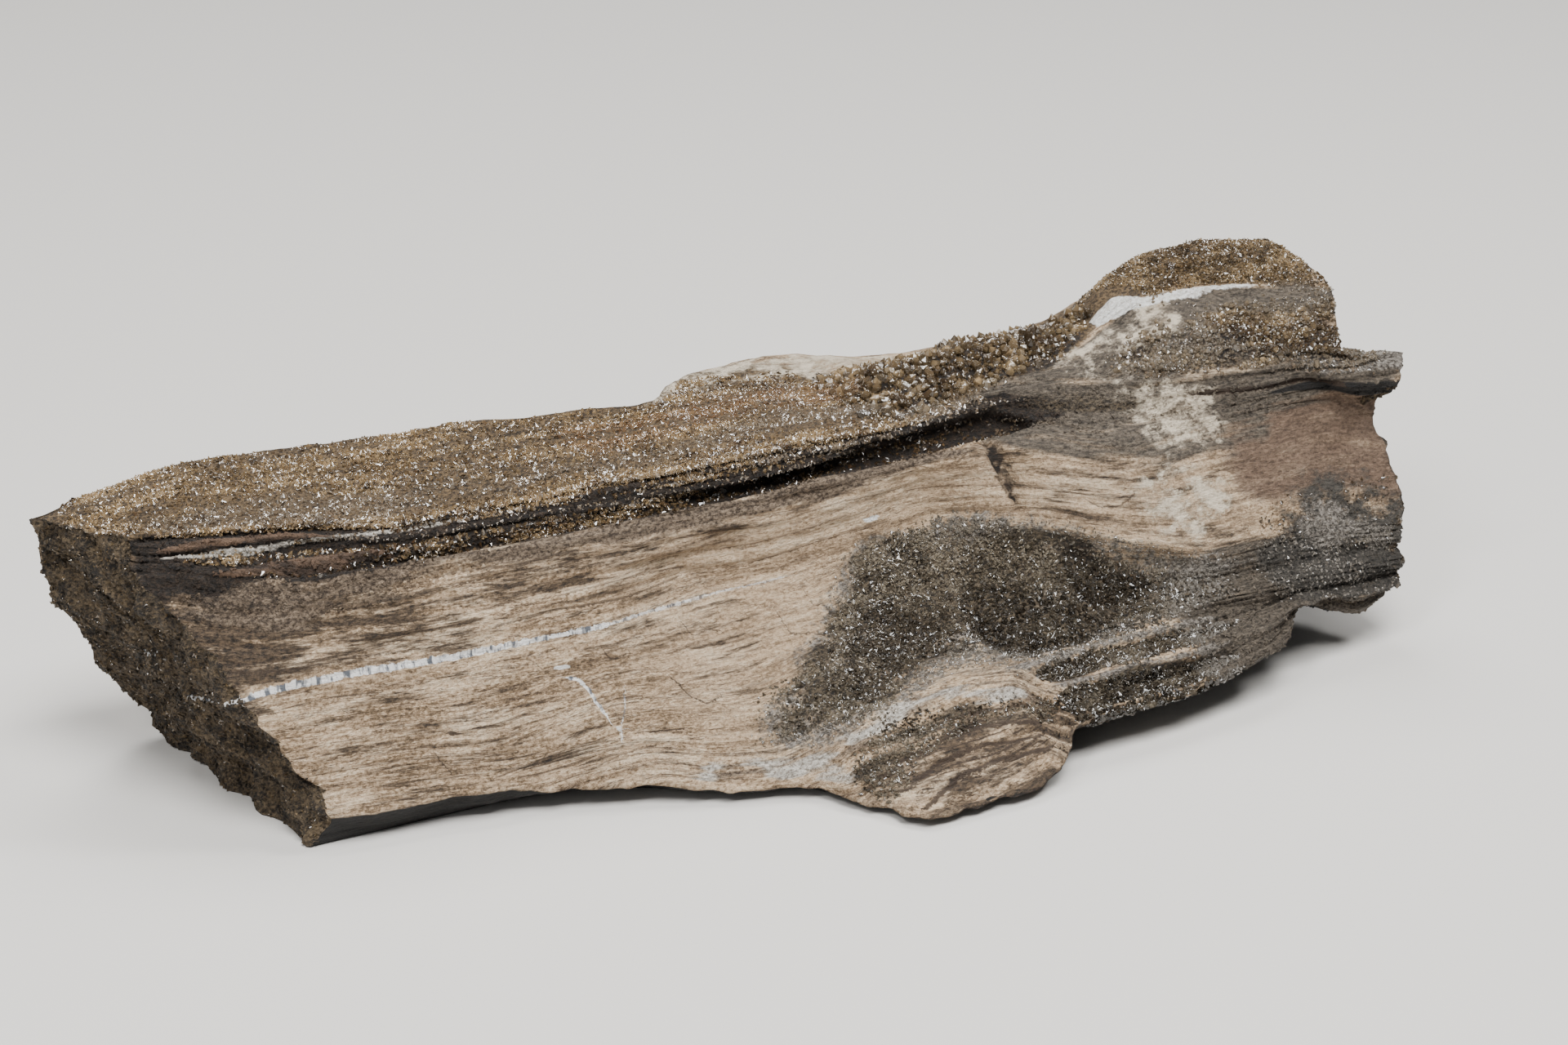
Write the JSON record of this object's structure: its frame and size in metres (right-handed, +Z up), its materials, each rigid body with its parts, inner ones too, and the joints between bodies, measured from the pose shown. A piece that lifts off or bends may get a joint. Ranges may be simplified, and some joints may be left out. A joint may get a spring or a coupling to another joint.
{
  "type": "petrified wood with crystals",
  "caption": "Split length of petrified wood lying on its flat side, tan grain in front, with quartz crystal crusts on its top and in a front hollow.",
  "frame": {"origin": "under the middle of the whole specimen, on the surface that it rests on", "axes": "+X along the grain, from the broken oblique end to the end with the knob; +Y from the split tan face to the back; +Z up"},
  "size_m": [0.1574, 0.0687, 0.0476],
  "materials": {
    "silicified_wood": "split silicified wood, fine dry grain",
    "golden_quartz": "golden-brown quartz druse, glassy facets",
    "smoky_quartz": "dark smoky quartz crystals, glassy facets"
  },
  "bodies": {
    "root": {"petrified_wood": "silicified_wood", "top_druse": "golden_quartz", "shoulder_crystals": "golden_quartz", "knob_cap_crystals": "golden_quartz", "knob_row_crystals": "golden_quartz", "hollow_crystals": "smoky_quartz"}
  },
  "joints": []
}
